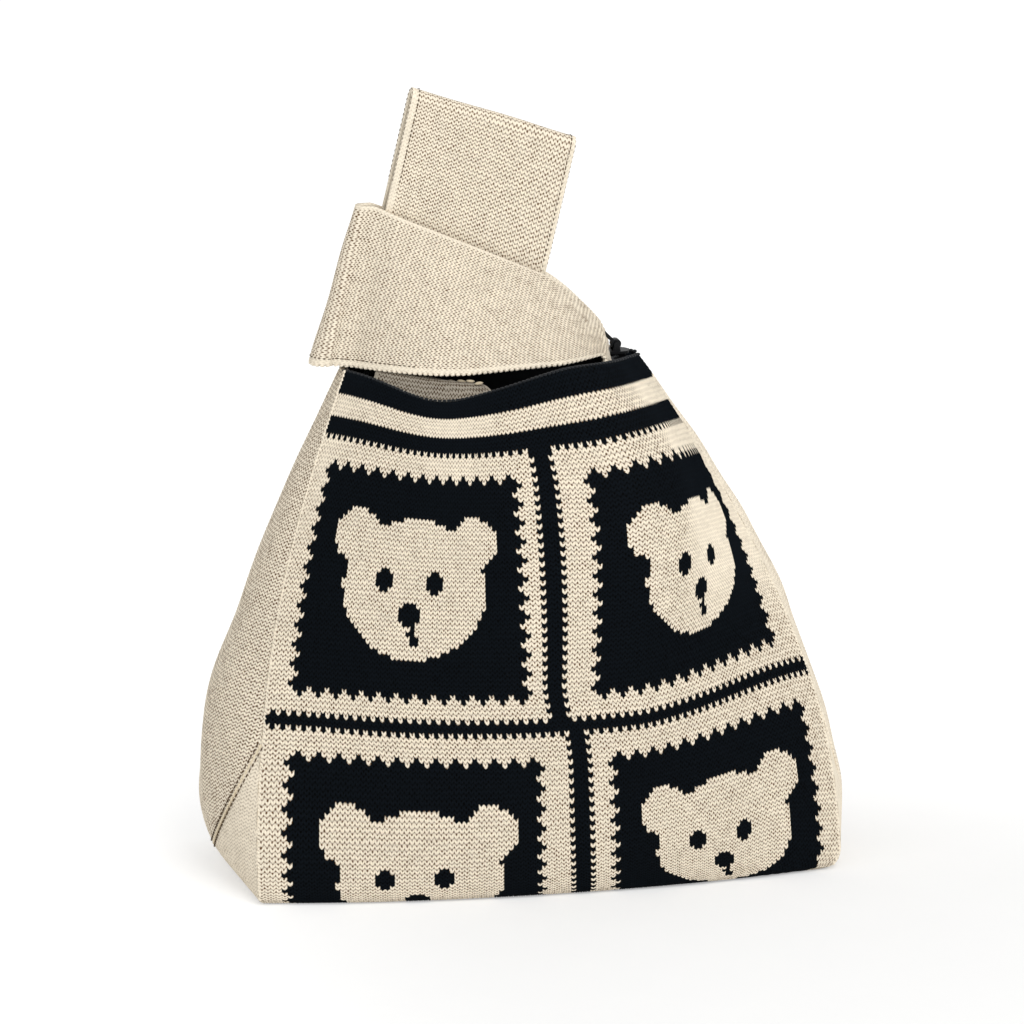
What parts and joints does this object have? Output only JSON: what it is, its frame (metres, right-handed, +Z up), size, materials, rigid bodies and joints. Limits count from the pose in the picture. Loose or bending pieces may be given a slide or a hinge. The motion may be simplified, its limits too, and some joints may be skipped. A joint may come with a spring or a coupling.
{
  "type": "knitted knot bag",
  "caption": "Knitted two-colour tote in knot-bag form: box body with slanted gusset seams, long handle drawn through a short handle's loop, zip inside the mouth.",
  "frame": {"origin": "under the middle of the base, on the surface that the bag stands on", "axes": "+X along the front towards the side with the zip slider, -Y out of the front, +Z up"},
  "size_m": [0.284, 0.124, 0.3526],
  "materials": {
    "patterned_knit": "two-colour knit, black with cream figures",
    "cream_knit": "cream knit",
    "seam_yarn": "sewing yarn",
    "zip_tape": "woven black tape",
    "zip_coil": "black nylon coil",
    "zip_metal": "gloss black enamel"
  },
  "bodies": {
    "bag": {"front_panel": "patterned_knit", "back_panel": "patterned_knit", "right_gusset": "cream_knit", "right_gusset_corner": "cream_knit", "left_gusset": "cream_knit", "left_gusset_corner": "cream_knit", "left_front_seam": "seam_yarn", "right_front_seam": "seam_yarn", "right_back_seam": "seam_yarn", "left_back_seam": "seam_yarn", "right_corner_seam": "seam_yarn", "left_corner_seam": "seam_yarn", "base_seam": "seam_yarn", "long_handle_front_leg": "cream_knit", "long_handle_back_leg": "cream_knit", "short_handle": "cream_knit", "zip_tape_front": "zip_tape", "zip_tape_back": "zip_tape", "zip_coil_front": "zip_coil", "zip_coil_back": "zip_coil", "zip_stop_front": "zip_metal", "zip_stop_back": "zip_metal"},
    "long_handle_loop": {"long_handle_loop": "cream_knit"},
    "zip_slider": {"zip_slider": "zip_metal"},
    "zip_pull": {"zip_pull": "zip_metal"}
  },
  "joints": [
    {"name": "long_handle_fold", "type": "hinge", "parent": "bag", "child": "long_handle_loop", "pos_m": [-0.0614, 0, 0.3017], "axis": [0.9184, 0, -0.3955], "range_deg": [-80, 80]},
    {"name": "zip_slide", "type": "slide", "parent": "bag", "child": "zip_slider", "axis": [-0.9989, 0, -0.0463], "range_m": [0, 0.11]},
    {"name": "zip_pull_swing", "type": "hinge", "parent": "zip_slider", "child": "zip_pull", "pos_m": [0.04223, 0, 0.23313], "axis": [0, -1, 0], "range_deg": [-130, 40]}
  ]
}
